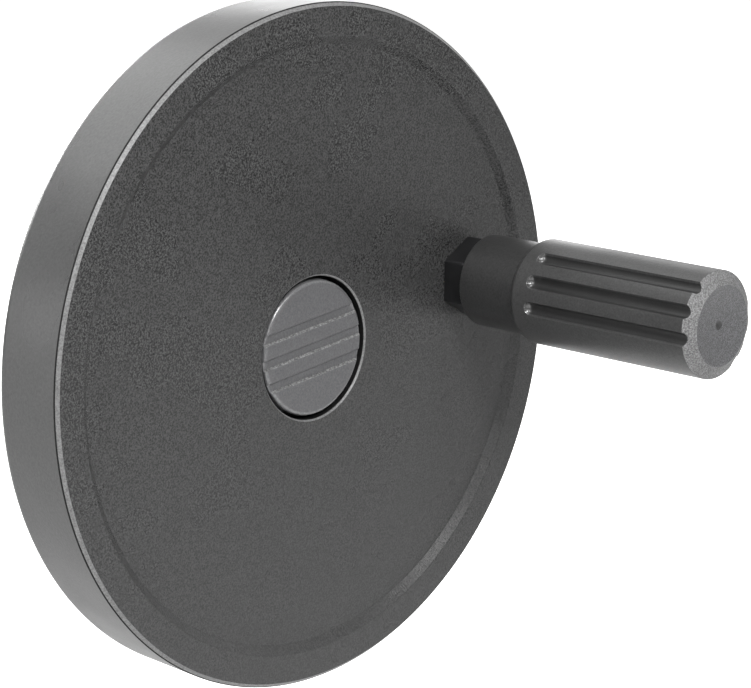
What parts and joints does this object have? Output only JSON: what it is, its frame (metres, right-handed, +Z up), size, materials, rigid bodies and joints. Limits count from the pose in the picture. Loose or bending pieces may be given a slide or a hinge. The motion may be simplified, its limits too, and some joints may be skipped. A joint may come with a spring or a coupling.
{
  "type": "machine handwheel",
  "caption": "Solid disc handwheel with a shallow front recess, a grooved centre cap, a plain bored hub behind and a fluted crank grip that turns on its spindle.",
  "frame": {"origin": "centre of the bore, on the rear seat face of the hub bush", "axes": "+Y along the bore towards the machine, so the face and the grip look towards -Y; +Z is up as mounted, with the grip 9 degrees above +X"},
  "size_m": [0.16, 0.113, 0.16],
  "materials": {
    "wheel_moulding": "fine eroded grain",
    "bush_steel": "blackened, bore reamed bright",
    "cap_moulding": "satin",
    "insert_brass": "turned",
    "spindle_steel": "blackened",
    "spring_steel": "plain",
    "grip_moulding": "semi-gloss, turned end"
  },
  "bodies": {
    "wheel": {"wheel_body": "wheel_moulding", "hub_bush": "bush_steel", "centre_cap": "cap_moulding", "grip_insert": "insert_brass", "grip_spindle": "spindle_steel", "retaining_ring": "spring_steel"},
    "grip": {"grip": "grip_moulding"}
  },
  "joints": [
    {"name": "grip_spin", "type": "hinge", "parent": "wheel", "child": "grip", "pos_m": [0.05334, -0.073, 0.00845], "axis": [0, -1, 0], "continuous": true}
  ]
}
